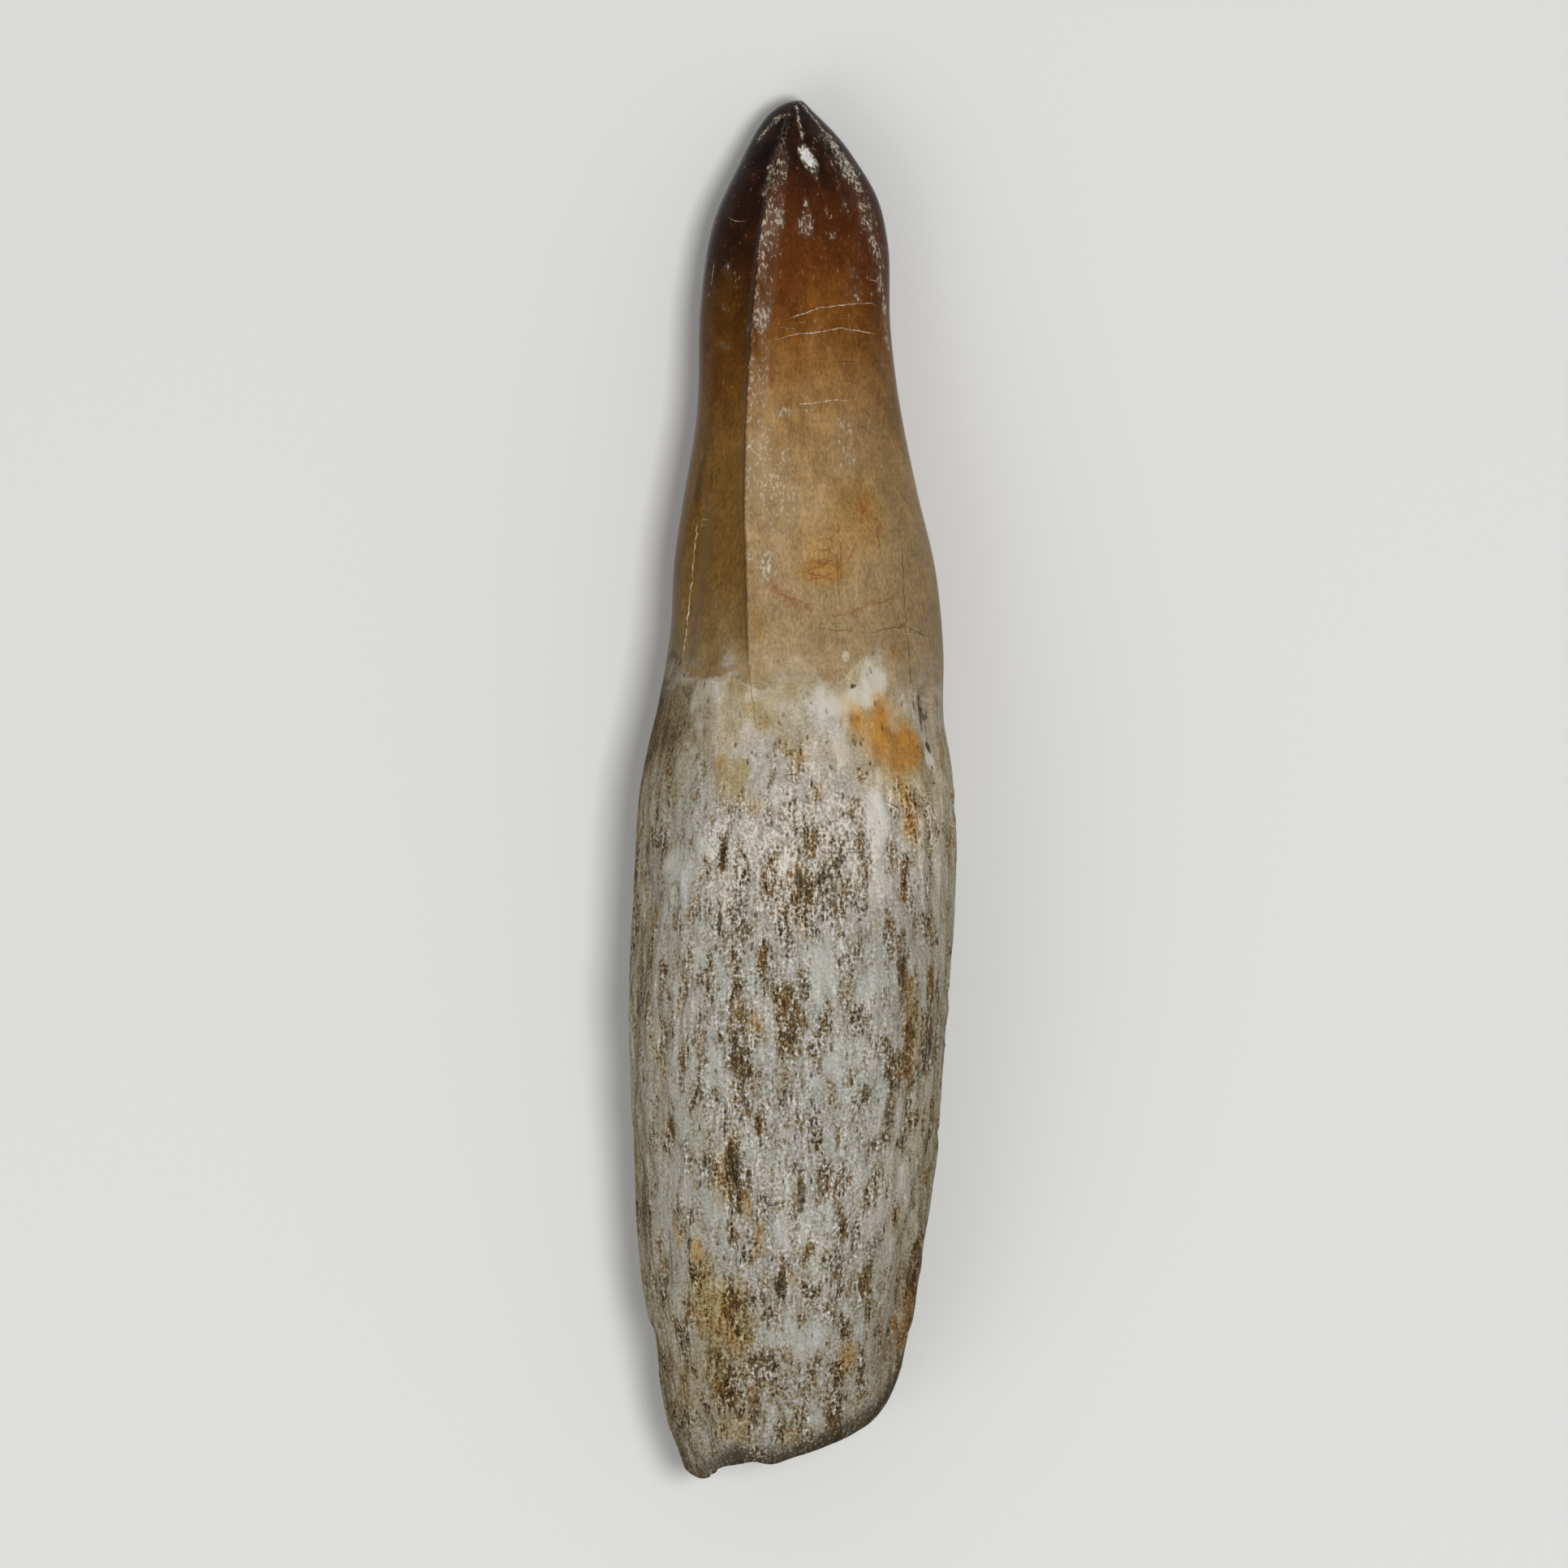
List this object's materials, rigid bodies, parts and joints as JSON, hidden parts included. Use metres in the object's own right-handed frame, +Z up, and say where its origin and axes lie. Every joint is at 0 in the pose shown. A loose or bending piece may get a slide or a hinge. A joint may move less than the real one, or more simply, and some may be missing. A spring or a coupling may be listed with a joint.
{
  "type": "fossil mosasaur tooth",
  "caption": "Rooted conical marine-reptile tooth, a keeled glossy crown on a thick pitted root broken off at a slant, lying on its side.",
  "frame": {"origin": "on the surface that the tooth lies on, under the middle of its bounding box", "axes": "+Y from the broken root end to the tip of the crown, +Z up, +X to the right seen from above with the tip away from the viewer"},
  "size_m": [0.0252, 0.1049, 0.0209],
  "materials": {
    "tooth": "semi-gloss brown enamel on the crown, chalky pitted bone on the root"
  },
  "bodies": {
    "root": {"tooth": "tooth"}
  },
  "joints": []
}
